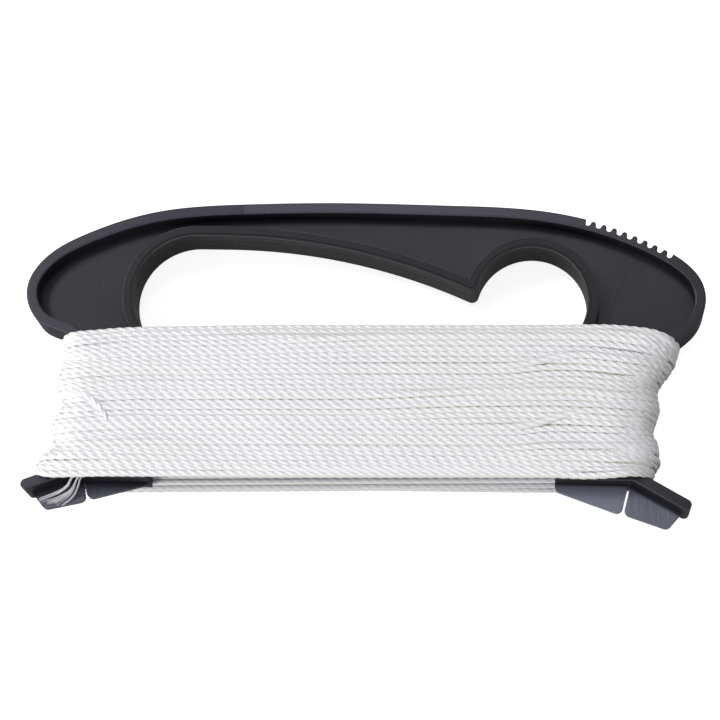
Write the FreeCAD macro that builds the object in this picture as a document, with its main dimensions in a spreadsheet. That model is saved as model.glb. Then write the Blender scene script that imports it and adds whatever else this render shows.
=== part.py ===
import FreeCAD, Part
import math
import os

# Kite line winder: a flat D-shaped handle moulded as an I-section (thin web, thick rim),
# with a soft liner round its finger opening and a twisted line wound on its two legs.
# X runs along the handle, Y from the feet to the rim, Z through the thickness.
# The outlines are drawn about the middle plane and every node is moved to its place at the end.

SIZES = [
    ("body_depth", 13.0, "front face to back face of the moulding"),
    ("web_thickness", 2.0, "thin middle plate"),
    ("rim_wall", 3.2, "wall round the edge of the moulding"),
    ("edge_round", 0.5, "rounding of the moulding's edges"),
    ("palm_radius", 18.2, "round end of the opening, for three fingers"),
    ("finger_radius", 16.4, "round end of the opening, for the index finger"),
    ("centre_spacing", 99.7, "between the centres of the two round ends"),
    ("finger_drop", 0.4, "how far the index end's centre lies below the other"),
    ("crown_level", 8.35, "level stretch at the top of the opening"),
    ("crown_bow", 4.2, "rise of the opening's top edge above its chord"),
    ("nose_run", 83.5, "from the palm end's centre to the point between the fingers"),
    ("nose_drop", 16.6, "from the top of the opening down to that point"),
    ("nose_radius", 2.0, "rounding of that point"),
    ("left_margin", 32.2, "from the opening to the rim at the left"),
    ("right_margin", 34.3, "from the opening to the rim at the right"),
    ("top_margin", 11.1, "from the opening to the rim at the top"),
    ("cross_bar", 4.9, "from the opening down to the underside of the cross bar"),
    ("corner_round", 4.0, "rounding where the cross bar meets a leg"),
    ("collar_width", 3.3, "face of the soft liner, seen from the front"),
    ("liner_wall", 1.2, "soft wall inside the opening"),
    ("liner_lip", 1.2, "soft lip over the rib, front and back"),
    ("liner_round", 0.45, "rounding of the liner's edges"),
    ("bead_width", 0.7, "bead along the lip's inner edge"),
    ("groove_width", 0.25, "fine groove beside the bead and at the parting line"),
    ("groove_depth", 0.25, "depth of those grooves"),
    ("parting_height", 1.6, "parting line above the middle plane"),
    ("ridge_tip", 0.8, "tip radius of a thumb ridge"),
    ("ridge_gap", 0.83, "radius of the notch between two ridges"),
    ("ridge_sink", 0.1, "ridge tips below the rim's surface"),
    ("ridge_start", 66.2, "first notch, from the middle of the handle"),
    ("ridge_count", 8, "thumb ridges"),
    ("left_leg_inset", 17.5, "from the rim's left end in to the leg"),
    ("right_leg_inset", 18.6, "from the rim's right end in to the leg"),
    ("left_leg_width", 22.1, "width of the left leg"),
    ("right_leg_width", 24.3, "width of the right leg"),
    ("left_leg_drop", 32.8, "left leg below the cross bar"),
    ("right_leg_drop", 30.7, "right leg below the cross bar"),
    ("left_flare_length", 15.8, "flared end of the left foot bar"),
    ("right_flare_length", 16.6, "flared end of the right foot bar"),
    ("left_flare_angle", 21.0, "degrees below level"),
    ("right_flare_angle", 29.0, "degrees below level"),
    ("left_flare_lift", 1.6, "height of the left flare above the foot bar"),
    ("slot_width", 0.6, "line slot between two tabs, at the foot bar"),
    ("slot_offset", 2.3, "line slot in from the leg's outer face"),
    ("tab_lean", 15.0, "degrees that a tab's side leans at the slot"),
    ("tab_round", 1.8, "rounding of a tab's corners"),
    ("left_inner_near", 0.7, "left inner tab's depth at the leg's inner face"),
    ("left_inner_tab", 5.6, "depth of the left foot's inner tab"),
    ("left_outer_near", 6.0, "left outer tab's depth at the slot"),
    ("left_outer_tab", 8.8, "depth of the left foot's outer tab"),
    ("right_inner_near", 2.1, "right inner tab's depth at the leg's inner face"),
    ("right_inner_tab", 8.7, "depth of the right foot's inner tab"),
    ("right_outer_near", 8.5, "right outer tab's depth at the slot"),
    ("right_outer_tab", 12.7, "depth of the right foot's outer tab"),
    ("line_diameter", 1.66, "twisted line"),
    ("line_layers", 3, "layers of line on the legs"),
    ("layer_nesting", 0.87, "height of a further layer, in line diameters"),
    ("winding_width", 45.9, "rows of line, measured along the legs"),
    ("winding_overhang", 0.55, "lowest row below the foot bars"),
    ("winding_tilt", 1.05, "rise of the rows to the right, in degrees"),
    ("winding_trim", 0.05, "taken off the front and back of the wound line to make them flat"),
    ("tail_sink", 1.45, "start of the line's outer end below the front turns"),
    ("tail_clearance", 0.12, "between the line's outer end and the tab it lies on"),
    ("knot_radius", 2.2, "stopper knot on the inner end of the line"),
    ("knot_clearance", 0.05, "between the knot and the edge of its hole"),
    ("line_hole_radius", 1.1, "hole in the right leg's web for the inner end"),
    ("line_hole_rise", 9.2, "that hole above the foot bar"),
]

doc = FreeCAD.newDocument("kite_line_winder")
sheet = doc.addObject("Spreadsheet::Sheet", "Sizes")
for row, (alias, amount, meaning) in enumerate(SIZES, start=1):
    sheet.set(f"A{row}", meaning)
    sheet.set(f"B{row}", str(amount))
    sheet.setAlias(f"B{row}", alias)
doc.recompute()


def size(alias):
    """A driving dimension, read from the sheet."""
    return float(sheet.get(alias))


V = FreeCAD.Vector


# ---------------------------------------------------------------- outline helpers

def sketch(name, curves):
    """A sketch in the middle plane that holds the given curves."""
    made = doc.addObject("Sketcher::SketchObject", name)
    made.addGeometry(curves, False)
    return made


def arc_about(centre, radius, start, end):
    """Arc of a circle from one angle to another, in degrees, through the angle halfway."""
    spots = []
    for angle in (start, 0.5 * (start + end), end):
        turn = math.radians(angle)
        spots.append(centre + V(radius * math.cos(turn), radius * math.sin(turn), 0))
    return Part.Arc(*spots)


def rounded_loop(corners):
    """Closed outline of lines with an arc at each corner; a corner is (x, y, radius)."""
    count = len(corners)
    bends = []
    for i, (x, y, radius) in enumerate(corners):
        here = V(x, y, 0)
        before = V(corners[i - 1][0], corners[i - 1][1], 0)
        after = V(corners[(i + 1) % count][0], corners[(i + 1) % count][1], 0)
        to_before = (before - here).normalize()
        to_after = (after - here).normalize()
        half = 0.5 * to_before.getAngle(to_after)
        reach = radius / math.tan(half) if radius else 0.0
        middle = (to_before + to_after).normalize()
        crown = here + middle * (radius / math.sin(half) - radius)
        bends.append((here + to_before * reach, crown, here + to_after * reach, radius))
    curves = []
    for i, (start, crown, end, radius) in enumerate(bends):
        if radius:
            curves.append(Part.Arc(start, crown, end))
        curves.append(Part.LineSegment(end, bends[(i + 1) % count][0]))
    return curves


def prism(name, profile, depth):
    """Solid of a profile, as deep in front of the middle plane as behind it."""
    made = doc.addObject("Part::Extrusion", name)
    made.Base = profile
    made.DirMode = "Custom"
    made.Dir = V(0, 0, 1)
    made.Solid = True
    made.Symmetric = True
    made.setExpression("LengthFwd", depth)
    return made


def offset(name, profile, distance):
    """Outline at a distance from another one, outward when positive."""
    made = doc.addObject("Part::Offset2D", name)
    made.Source = profile
    made.Mode = "Pipe"
    made.setExpression("Value", distance)
    return made


def cut(name, base, tool):
    """One solid less another."""
    made = doc.addObject("Part::Cut", name)
    made.Base = base
    made.Tool = tool
    return made


def join(name, pieces):
    """Several solids as one."""
    made = doc.addObject("Part::MultiFuse", name)
    made.Shapes = pieces
    made.Refine = True
    return made


def rounded(name, base, radius):
    """A solid with the edges of its front and back faces rounded."""
    doc.recompute()
    half = 0.5 * size("body_depth")
    edges = []
    for number, edge in enumerate(base.Shape.Edges, start=1):
        box = edge.BoundBox
        if abs(abs(box.ZMin) - half) < 0.001 and abs(box.ZMax - box.ZMin) < 0.001:
            edges.append((number, size(radius), size(radius)))
    made = doc.addObject("Part::Fillet", name)
    made.Base = base
    made.Edges = edges
    return made


# ---------------------------------------------------------------- places worked out from the sizes

overall_width = (size("left_margin") + size("palm_radius") + size("centre_spacing")
                 + size("finger_radius") + size("right_margin"))
rim_left = -0.5 * overall_width
rim_right = 0.5 * overall_width
palm = V(rim_left + size("left_margin") + size("palm_radius"), size("palm_radius"), 0)
finger = V(palm.x + size("centre_spacing"), palm.y - size("finger_drop"), 0)
opening_top = palm.y + size("palm_radius")
rim_top = opening_top + size("top_margin")
bar_under = -size("cross_bar")
leg_left = rim_left + size("left_leg_inset")
leg_right = rim_right - size("right_leg_inset")
foot_left = bar_under - size("left_leg_drop")
foot_right = bar_under - size("right_leg_drop")


# ---------------------------------------------------------------- outline of the moulding

# The rim: x as a share of the way from the middle to an end, y from the opening's bottom to the top.
RIM_SHAPE = [
    (-0.998, 0.417), (-0.961, 0.585), (-0.829, 0.776), (-0.632, 0.922), (-0.372, 0.982),
    (-0.08, 1.0), (0.246, 0.992), (0.565, 0.95), (0.746, 0.85), (0.838, 0.769), (0.922, 0.67),
    (0.990, 0.512),
]
# The shoulders under the rim: x as a share of the way from the leg out to the rim's end.
LEFT_SHOULDER = [(0.0, -0.021), (0.08, 0.063), (0.257, 0.118), (0.714, 0.187), (0.94, 0.297)]
RIGHT_SHOULDER = [(1.0, 0.383), (0.88, 0.254), (0.60, 0.147), (0.24, 0.035), (0.0, -0.156)]


def rim_points():
    """Points of the rim from the top of the left leg round to the top of the right leg."""
    points = [V(leg_left + share * (rim_left - leg_left), up * rim_top, 0)
              for share, up in LEFT_SHOULDER]
    points += [V(share * rim_right, up * rim_top, 0) for share, up in RIM_SHAPE]
    points += [V(leg_right + share * (rim_right - leg_right), up * rim_top, 0)
               for share, up in RIGHT_SHOULDER]
    return points


def rim_curve(inset=0.0):
    """Smooth curve up from the left leg, round the rim and down to the right leg."""
    outer = Part.BSplineCurve()
    outer.interpolate(Points=rim_points())
    if not inset:
        return outer
    points = []
    for point in rim_points():
        along = outer.tangent(outer.parameter(point))[0]
        points.append(point + V(along.y, -along.x, 0) * inset)
    inner = Part.BSplineCurve()
    inner.interpolate(Points=points)
    return inner


def moulding_outline(name, inset):
    """Rim, legs and cross bar in one closed line, at a distance inside the outer face."""
    curve = rim_curve(inset)
    left = leg_left + inset
    right = leg_right - inset
    inner_left = leg_left + size("left_leg_width") - inset
    inner_right = leg_right - size("right_leg_width") + inset
    low_left = foot_left + inset
    low_right = foot_right + inset
    under = bar_under + inset
    r = size("corner_round") + inset
    right_top = V(right, rim_points()[-1].y, 0)
    left_top = V(left, rim_points()[0].y, 0)
    curves = [curve]
    if inset:
        curves.append(shoulder_arc(curve.EndPoint, rim_points()[-1], right_top))
        curves.append(shoulder_arc(left_top, rim_points()[0], curve.StartPoint))
    curves += [
        Part.LineSegment(right_top, V(right, low_right, 0)),
        Part.LineSegment(V(right, low_right, 0), V(inner_right, low_right, 0)),
        Part.LineSegment(V(inner_right, low_right, 0), V(inner_right, under - r, 0)),
        arc_about(V(inner_right - r, under - r, 0), r, 0, 90),
        Part.LineSegment(V(inner_right - r, under, 0), V(inner_left + r, under, 0)),
        arc_about(V(inner_left + r, under - r, 0), r, 90, 180),
        Part.LineSegment(V(inner_left, under - r, 0), V(inner_left, low_left, 0)),
        Part.LineSegment(V(inner_left, low_left, 0), V(left, low_left, 0)),
        Part.LineSegment(V(left, low_left, 0), left_top),
    ]
    return sketch(name, curves)


def shoulder_arc(start, corner, end):
    """Arc about the corner between a leg and the rim, inside the moulding."""
    return Part.Arc(start, arc_middle(corner, start, end), end)


def arc_middle(centre, one, other):
    """Point halfway along the short arc between two points of a circle."""
    radius = (one - centre).Length
    return centre + (0.5 * (one + other) - centre).normalize() * radius


# ---------------------------------------------------------------- outline of the finger opening

def finger_opening():
    """Opening with a round end for the palm's fingers, a point, and a round end for one finger."""
    top_left = V(palm.x, opening_top, 0)
    nose = V(palm.x + size("nose_run"), opening_top - size("nose_drop"), 0)
    crown_start = V(palm.x + size("crown_level"), opening_top, 0)
    chord = nose - crown_start
    bow = V(-chord.y, chord.x, 0).normalize() * size("crown_bow")
    crown = Part.Circle(crown_start, crown_start + chord * 0.5 + bow, nose)
    # the rounded point touches the crown curve and the round finger end
    spot = point_touching(crown, size("nose_radius"), nose)
    on_crown = crown.Center + (spot - crown.Center).normalize() * crown.Radius
    on_ring = finger + (spot - finger).normalize() * size("finger_radius")
    tip = spot + (nose - spot).normalize() * size("nose_radius")
    over = finger + V(0, size("finger_radius"), 0)
    right = finger + V(size("finger_radius"), 0, 0)
    low_right = finger - V(0, size("finger_radius"), 0)
    low_left = palm - V(0, size("palm_radius"), 0)
    half_bow = crown.Center + (0.5 * (crown_start + on_crown) - crown.Center).normalize() * crown.Radius
    return sketch("finger_opening", [
        Part.LineSegment(top_left, crown_start),
        Part.Arc(crown_start, half_bow, on_crown),
        Part.Arc(on_crown, tip, on_ring),
        Part.Arc(on_ring, over, right),
        Part.Arc(right, arc_middle(finger, right, low_right), low_right),
        Part.LineSegment(low_right, low_left),
        Part.Arc(low_left, palm - V(size("palm_radius"), 0, 0), top_left),
    ])


def point_touching(crown, radius, near):
    """Centre of the small circle in the solid point that touches the crown and the finger end."""
    first = Part.Circle(crown.Center, V(0, 0, 1), crown.Radius + radius).toShape()
    second = Part.Circle(finger, V(0, 0, 1), size("finger_radius") + radius).toShape()
    spots = [vertex.Point for vertex in first.common(second).Vertexes]
    spots = spots or [pair[0] for pair in first.distToShape(second)[1]]
    return min(spots, key=lambda spot: (spot - near).Length)


# ---------------------------------------------------------------- thumb ridges

def ridge_cutter(count):
    """Outline that cuts a row of rounded notches into the rim and leaves rounded ridges."""
    curve = rim_curve()
    upright = Part.Line(V(size("ridge_start"), 0, 0), V(size("ridge_start"), 1, 0))
    on_top = max(curve.intersectCC(upright), key=lambda point: point.Y)
    travelled = curve.length(curve.FirstParameter, curve.parameter(V(on_top.X, on_top.Y, 0)))
    pitch = size("ridge_tip") + size("ridge_gap")
    depth = size("ridge_tip") + size("ridge_sink")
    curves = []
    for i in range(2 * count + 1):
        here = curve.parameterAtDistance(travelled + i * pitch, curve.FirstParameter)
        along = curve.tangent(here)[0]
        inward = V(along.y, -along.x, 0)
        centre = curve.value(here) + inward * depth
        notch = i % 2 == 0
        radius = size("ridge_gap") if notch else size("ridge_tip")
        start = end if curves else centre - along * radius
        end = centre + along * radius
        curves.append(Part.Arc(start, centre + inward * (radius if notch else -radius), end))
        if not notch:
            continue
        above = centre - inward * 4.0 * depth
        if i == 0:
            first_side = [above - along * radius, start]
    last_side = [end, above + along * radius]
    curves.append(Part.LineSegment(*last_side))
    curves.append(Part.LineSegment(last_side[1], first_side[0]))
    curves.append(Part.LineSegment(*first_side))
    return sketch("ridge_cutter", curves)


# ---------------------------------------------------------------- feet

def flare(side, corner):
    """Bar that runs out and down from a leg, with a round end."""
    length = f"{side}_flare_length"
    angle = size(f"{side}_flare_angle")
    bar = doc.addObject("Part::Box", f"{side}_flare_bar")
    bar.setExpression("Length", f"Sizes.{length}")
    bar.setExpression("Width", "Sizes.rim_wall")
    bar.setExpression("Height", "Sizes.body_depth")
    heading = -angle if side == "right" else 180.0 + angle
    turn = FreeCAD.Rotation(V(0, 0, 1), heading)
    corner_to_side = turn.multVec(V(0, -0.5 * size("rim_wall"), -0.5 * size("body_depth")))
    bar.Placement = FreeCAD.Placement(corner + corner_to_side, turn)
    end = doc.addObject("Part::Cylinder", f"{side}_flare_end")
    end.setExpression("Radius", "Sizes.rim_wall / 2")
    end.setExpression("Height", "Sizes.body_depth")
    tip = corner + turn.multVec(V(size(length), 0, 0))
    end.Placement = FreeCAD.Placement(tip - V(0, 0, 0.5 * size("body_depth")), FreeCAD.Rotation())
    return bar, end, tip


LOW_SHARE = 0.62    # lowest corner of an outer tab, as a share of the flare's reach
END_SHARE = 0.90    # outer end of that tab


def tabs(side, leg, foot, tip):
    """Two thin tabs under a foot bar, split by the slot that holds the line's end."""
    out = 1.0 if side == "right" else -1.0
    wall = size("rim_wall")
    r = size("tab_round")
    lean = math.tan(math.radians(size("tab_lean")))
    width = size(f"{side}_leg_width")
    reach = out * (tip.x - leg)
    drop = foot - tip.y

    def spot(along, down, radius=0.0):
        return (leg + out * along, foot - down, radius)

    slot_outer = -size("slot_offset")
    slot_inner = slot_outer - size("slot_width")
    deep = size(f"{side}_inner_tab")
    inner = rounded_loop([
        spot(-width, -0.5 * wall),
        spot(-width, size(f"{side}_inner_near"), r),
        spot(slot_inner - lean * deep, deep, r),
        spot(slot_inner, -0.5 * wall),
    ])
    near = size(f"{side}_outer_near")
    outer = rounded_loop([
        spot(slot_outer, -0.5 * wall),
        spot(slot_outer - lean * near, near, r),
        spot(LOW_SHARE * reach, size(f"{side}_outer_tab"), r),
        spot(END_SHARE * reach, drop + 0.6 * wall),
        spot(END_SHARE * reach, END_SHARE * drop - 0.2 * wall),
    ])
    plates = []
    for name, curves in ((f"{side}_inner_tab", inner), (f"{side}_outer_tab", outer)):
        plates.append(prism(name, sketch(name + "_outline", curves), "Sizes.web_thickness"))
    return plates


def foot_pieces(side, leg, base, lift):
    """Flared bar and tabs of one foot, and the block under the bar that no line fills."""
    out = 1.0 if side == "right" else -1.0
    half_wall = 0.5 * size("rim_wall")
    corner = V(leg - out * half_wall, base + half_wall + lift, 0)
    bar, end, tip = flare(side, corner)
    below = doc.addObject("Part::Box", f"{side}_below_flare")
    below.setExpression("Length", f"{bar.Name}.Length")
    below.setExpression("Width", "4 * Sizes.rim_wall")
    below.setExpression("Height", "Sizes.body_depth")
    shift = V(0, (0.0 if side == "left" else -3.0 * size("rim_wall")), 0)
    below.Placement = FreeCAD.Placement(bar.Placement.multVec(shift), bar.Placement.Rotation)
    return [bar, end] + tabs(side, leg, base, tip), [bar, end, below]


# ---------------------------------------------------------------- the moulding and its liner

outline = moulding_outline("moulding_outline", 0.0)
opening = finger_opening()
collar = offset("collar_outline", opening, "Sizes.collar_width")
rib_edge = offset("rib_outline", opening, "Sizes.liner_wall")
recess_edge = moulding_outline("recess_outline", size("rim_wall"))

blank = prism("moulding_blank", outline, "Sizes.body_depth")
collar_full = prism("collar_full", collar, "Sizes.body_depth")
collar_middle = prism("collar_middle", collar, "Sizes.body_depth - 2 * Sizes.liner_lip")
rib_hole = prism("rib_hole", rib_edge, "Sizes.body_depth")
opening_hole = prism("opening_hole", opening, "Sizes.body_depth")
recess_full = prism("recess_full", recess_edge, "Sizes.body_depth")
web_plate = prism("web_plate", recess_edge, "Sizes.web_thickness")

recess_walls = join("recess_walls", [web_plate, collar_full])
recess = cut("recess", recess_full, recess_walls)
lip_seat = cut("lip_seat", collar_full, collar_middle)
ridge_notches = prism("ridge_notches", ridge_cutter(int(size("ridge_count"))), "Sizes.body_depth")

left_foot, left_clear = foot_pieces("left", leg_left, foot_left, size("left_flare_lift"))
right_foot, right_clear = foot_pieces("right", leg_right, foot_right, 0.0)

line_hole = doc.addObject("Part::Cylinder", "line_hole")
line_hole.setExpression("Radius", "Sizes.line_hole_radius")
line_hole.setExpression("Height", "Sizes.body_depth")
hole_spot = V(leg_right - 0.5 * size("right_leg_width"), foot_right + size("line_hole_rise"), 0)
line_hole.Placement.Base = hole_spot - V(0, 0, 0.5 * size("body_depth"))

openings = join("openings", [recess, lip_seat, rib_hole, ridge_notches])
shell = cut("moulding_shell", blank, openings)
body = join("moulding_with_feet", [shell] + left_foot + right_foot)
sharp_frame = cut("sharp_frame", body, line_hole)
winder_frame = rounded("winder_frame", sharp_frame, "edge_round")

liner_ring = cut("liner_ring", collar_full, opening_hole)
soft_ring = rounded("soft_ring", liner_ring, "liner_round")
rib = cut("liner_rib", collar_middle, rib_hole)
bead_inner = prism("bead_inner", offset("bead_outline", opening, "Sizes.bead_width"),
                   "Sizes.body_depth")
groove_outer = prism("groove_outer", offset("groove_outline", opening,
                                            "Sizes.bead_width + Sizes.groove_width"),
                     "Sizes.body_depth")
groove_floor = prism("groove_floor", groove_outer.Base, "Sizes.body_depth - 2 * Sizes.groove_depth")
bead_groove = cut("bead_groove", groove_outer, join("groove_keep", [bead_inner, groove_floor]))
parting_ring = prism("parting_ring", offset("parting_outline", opening, "Sizes.groove_depth"),
                     "Sizes.groove_width")
parting_ring.setExpression(".Placement.Base.z", "Sizes.parting_height")
finger_grip_liner = cut("finger_grip_liner", soft_ring,
                        join("liner_cuts", [rib, bead_groove, parting_ring]))


# ---------------------------------------------------------------- the wound line

stack = size("line_diameter") * (1.0 + (size("line_layers") - 1.0) * size("layer_nesting"))
pack_half = 0.5 * size("body_depth") + stack
pack_foot = 0.5 * (foot_left + foot_right) - size("winding_overhang")
tilt = FreeCAD.Rotation(V(0, 0, 1), size("winding_tilt"))

# How far the turns bulge past their place on the legs, from the feet up: share, left, right.
WINDING_SHAPE = [
    (0.0, 2.9, -2.2), (0.085, 4.9, -1.7), (0.15, 1.0, 0.0), (0.39, 0.8, -0.7),
    (0.67, 0.8, 0.5), (0.82, -0.5, 5.8), (0.91, 0.0, 6.3), (1.0, -7.0, 2.3),
]


def winding_section(index, share, left_bulge, right_bulge):
    """Rounded outline of the turns in a plane across the legs."""
    low = leg_left - stack - left_bulge
    high = leg_right + stack + right_bulge
    r = stack + size("edge_round")
    reach = pack_half + size("winding_trim")
    curves = rounded_loop([(low, -reach, r), (high, -reach, r), (high, reach, r), (low, reach, r)])
    section = sketch(f"winding_section_{index}", curves)
    upright = FreeCAD.Rotation(V(1, 0, 0), 90.0)
    along = pack_foot + share * size("winding_width")
    section.Placement = FreeCAD.Placement(V(0, along, 0), tilt.multiply(upright))
    return section


sections = [winding_section(i, *station) for i, station in enumerate(WINDING_SHAPE)]
winding_loft = doc.addObject("Part::Loft", "winding_loft")
winding_loft.Sections = sections
winding_loft.Solid = True
winding_loft.Ruled = True


def middle_slab(name, left, right, depth):
    """Box about the middle plane that is far longer along the legs than the rows of line."""
    slab = doc.addObject("Part::Box", name)
    slab.Length = right - left
    slab.setExpression("Width", "4 * Sizes.winding_width")
    slab.setExpression("Height", depth)
    slab.Placement.Base = V(left, pack_foot - 1.5 * size("winding_width"), 0)
    slab.setExpression(".Placement.Base.z", f"-0.5 * ({depth})")
    return slab


layers_high = "(1 + (Sizes.line_layers - 1) * Sizes.layer_nesting)"
flat_slab = middle_slab("flat_slab", 1.5 * rim_left, 1.5 * rim_right,
                        f"Sizes.body_depth + 2 * Sizes.line_diameter * {layers_high}")
winding_block = doc.addObject("Part::MultiCommon", "winding_block")
winding_block.Shapes = [winding_loft, flat_slab]
hollow = middle_slab("winding_hollow", leg_left, leg_right, "Sizes.body_depth")
kept_clear = join("kept_clear_of_line", [hollow, blank] + left_clear + right_clear)
wound_line = cut("wound_line", winding_block, kept_clear)


# ---------------------------------------------------------------- the two ends of the line

# The outer end runs along the lowest front turn, drops off its edge and lies on the left outer tab:
# x from the leg's outer face, y from the lowest row, height as a share from the tab to the front turns.
TAIL_ROUTE = [
    (6.7, -0.4, 1.0), (3.5, -1.7, 0.9), (0.6, -3.8, 0.57), (-2.3, -5.2, 0.23), (-5.7, -6.3, 0.03),
    (-9.0, -7.4, 0.0),
]


def tail_points():
    """The tail's route in place on the left foot."""
    on_tab = 0.5 * size("web_thickness") + 0.5 * size("line_diameter") + size("tail_clearance")
    on_turns = pack_half - size("tail_sink")
    return [V(leg_left + x, pack_foot + y, on_tab + share * (on_turns - on_tab))
            for x, y, share in TAIL_ROUTE]


def bent_tube(name, points, radius):
    """Round tube along straight runs joined by tangent arcs, as a swept solid."""
    edges = []
    here = points[0]
    for before, corner, after in zip(points, points[1:], points[2:]):
        back = before - corner
        on = after - corner
        reach = 0.45 * min(back.Length, on.Length)
        half = 0.5 * back.getAngle(on)
        bend = reach * math.tan(half)
        start = corner + back.normalize() * reach
        end = corner + on.normalize() * reach
        crown = corner + (back + on).normalize() * (bend / math.sin(half) - bend)
        edges.append(Part.LineSegment(here, start).toShape())
        edges.append(Part.Arc(start, crown, end).toShape())
        print(f"{name}: bend radius {bend:.2f}")
        here = end
    edges.append(Part.LineSegment(here, points[-1]).toShape())
    path = Part.Wire(edges)
    ring = Part.Wire([Part.Circle(points[0], points[1] - points[0], radius).toShape()])
    tube = path.makePipeShell([ring], True, True)
    share = tube.Volume / (path.Length * math.pi * radius ** 2)
    print(f"{name}: length {path.Length:.2f}, volume {share:.4f} of section times length")
    made = doc.addObject("Part::Feature", name)
    made.Shape = tube
    return made


doc.recompute()
line_radius = 0.5 * size("line_diameter")
tail_tube = bent_tube("tail_tube", tail_points(), line_radius)
line_tail = cut("line_tail", tail_tube, winding_block)

knot_seat = math.sqrt(size("knot_radius") ** 2 - size("line_hole_radius") ** 2)
knot_drop = 0.5 * size("web_thickness") + knot_seat + size("knot_clearance")
knot = doc.addObject("Part::Sphere", "knot")
knot.setExpression("Radius", "Sizes.knot_radius")
knot.Placement.Base = hole_spot - V(0, 0, knot_drop)
inner_end = doc.addObject("Part::Cylinder", "inner_end")
inner_end.setExpression("Radius", "Sizes.line_diameter / 2")
inner_end.Height = knot_drop + 0.5 * size("body_depth")
inner_end.Placement.Base = knot.Placement.Base
line_start_knot = join("line_start_knot", [knot, inner_end])


# ---------------------------------------------------------------- home place, checks and files

NODES = [winder_frame, finger_grip_liner, wound_line, line_tail, line_start_knot]


def move_home(nodes):
    """Put the origin in the middle of the whole part's underside."""
    boxes = [node.Shape.optimalBoundingBox(False) for node in nodes]
    low = V(min(box.XMin for box in boxes), min(box.YMin for box in boxes),
            min(box.ZMin for box in boxes))
    high = V(max(box.XMax for box in boxes), max(box.YMax for box in boxes), 0)
    move = V(-0.5 * (low.x + high.x), -0.5 * (low.y + high.y), -low.z)
    for node in nodes:
        node.Placement = FreeCAD.Placement(move, FreeCAD.Rotation())
    print(f"moved home by {move.x:.3f}, {move.y:.3f}, {move.z:.3f}")


def check(nodes):
    """Stop if anything in the document failed or a node isn't a sound solid."""
    failed = [thing.Name for thing in doc.Objects
              if "Invalid" in thing.State or "Error" in thing.State]
    failed += [node.Name for node in nodes if node.Shape.isNull() or not node.Shape.isValid()]
    if failed:
        raise RuntimeError(f"failed: {failed}")


doc.recompute()
move_home(NODES)
doc.recompute()
check(NODES)
os.makedirs("parts", exist_ok=True)
for node in NODES:
    node.Label = node.Name
    print(f"{node.Label}: {len(node.Shape.Solids)} solid, {node.Shape.Volume:.1f} cubic mm")
    node.Shape.exportStep(f"parts/{node.Label}.step")
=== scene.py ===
"""Looks of the kite line winder: moulded frame, soft grip liner and twisted line.

Shapes are worked out in mm. Materials, lamps and the floor are in metres.
"""
import math
import random

import bpy
import numpy as np
from mathutils import Matrix, Vector


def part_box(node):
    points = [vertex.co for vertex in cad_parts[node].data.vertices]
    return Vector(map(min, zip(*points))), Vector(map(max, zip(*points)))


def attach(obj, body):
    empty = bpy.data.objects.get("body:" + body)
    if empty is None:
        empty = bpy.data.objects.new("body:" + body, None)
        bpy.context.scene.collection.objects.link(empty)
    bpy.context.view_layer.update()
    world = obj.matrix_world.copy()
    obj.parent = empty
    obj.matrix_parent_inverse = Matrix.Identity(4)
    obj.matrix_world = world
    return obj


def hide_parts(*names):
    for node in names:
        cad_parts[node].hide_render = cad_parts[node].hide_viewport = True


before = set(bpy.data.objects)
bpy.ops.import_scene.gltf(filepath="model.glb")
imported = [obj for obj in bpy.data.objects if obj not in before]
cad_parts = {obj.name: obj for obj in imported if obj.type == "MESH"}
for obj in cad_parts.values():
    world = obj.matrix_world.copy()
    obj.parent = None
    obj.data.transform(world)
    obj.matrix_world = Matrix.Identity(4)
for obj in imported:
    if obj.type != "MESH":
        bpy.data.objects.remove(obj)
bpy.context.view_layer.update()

MM = 0.001
WHOLE_TURN = 2.0 * math.pi
ANY_ANGLE = (0.0, 6.28)     # bounds of a random angle

# ------------------------------------------------------------------ the moulding and its two sides

frame_low, frame_high = (Vector(corner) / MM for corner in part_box("winder_frame"))
MIDDLE = 0.5 * (frame_low.z + frame_high.z)      # middle plane of the moulding
HALF_DEPTH = 0.5 * (frame_high.z - frame_low.z)  # middle plane to the front face
FRONT, BACK = 1.0, -1.0     # the two faces

# The sides that the turns round.
# profile: outer side of the moulding, y and x, with the leg's waist between its second and third
# lumps: middles of the outermost turns halfway down, uneven from winding by hand, y and x
# slip: how far a turn slides down below the waist, for each mm that it lies below
# read: x at which a turn's row is read off for this side
# gather: how far from the edge turns begin to gather towards it, and over what length
LEFT = {
    "name": "left", "outward": -1.0, "slip": 0.6, "read": -60.0, "gather": (19.0, 17.0),
    "profile": [(-38.4, -96.7), (-33.15, -83.0), (-0.75, -83.0), (3.25, -84.4), (5.9, -87.5),
                (9.15, -95.5)],
    "lumps": [(-36.5, -93.7), (-32.3, -92.7), (-29.8, -88.8), (-27.4, -88.2), (-24.4, -89.7),
              (-21.1, -89.4), (-15.6, -86.1), (-11.4, -88.8), (-7.4, -88.8), (-2.8, -86.9),
              (5.2, -88.3)],
}
RIGHT = {
    "name": "right", "outward": 1.0, "slip": 2.0, "read": 66.0, "gather": (21.0, 18.0),
    "profile": [(-40.4, 95.4), (-32.8, 81.7), (-7.15, 81.7), (1.9, 86.2), (7.2, 92.9),
                (12.5, 98.1)],
    "lumps": [(-36.0, 85.6), (-33.0, 84.8), (-28.2, 87.2), (-24.5, 86.6), (-20.9, 84.6),
              (-17.9, 85.3), (-13.4, 86.7), (-7.2, 85.8), (1.4, 91.3), (3.9, 92.0), (6.5, 92.9)],
}

# ------------------------------------------------------------------ the line and its layers

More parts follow.
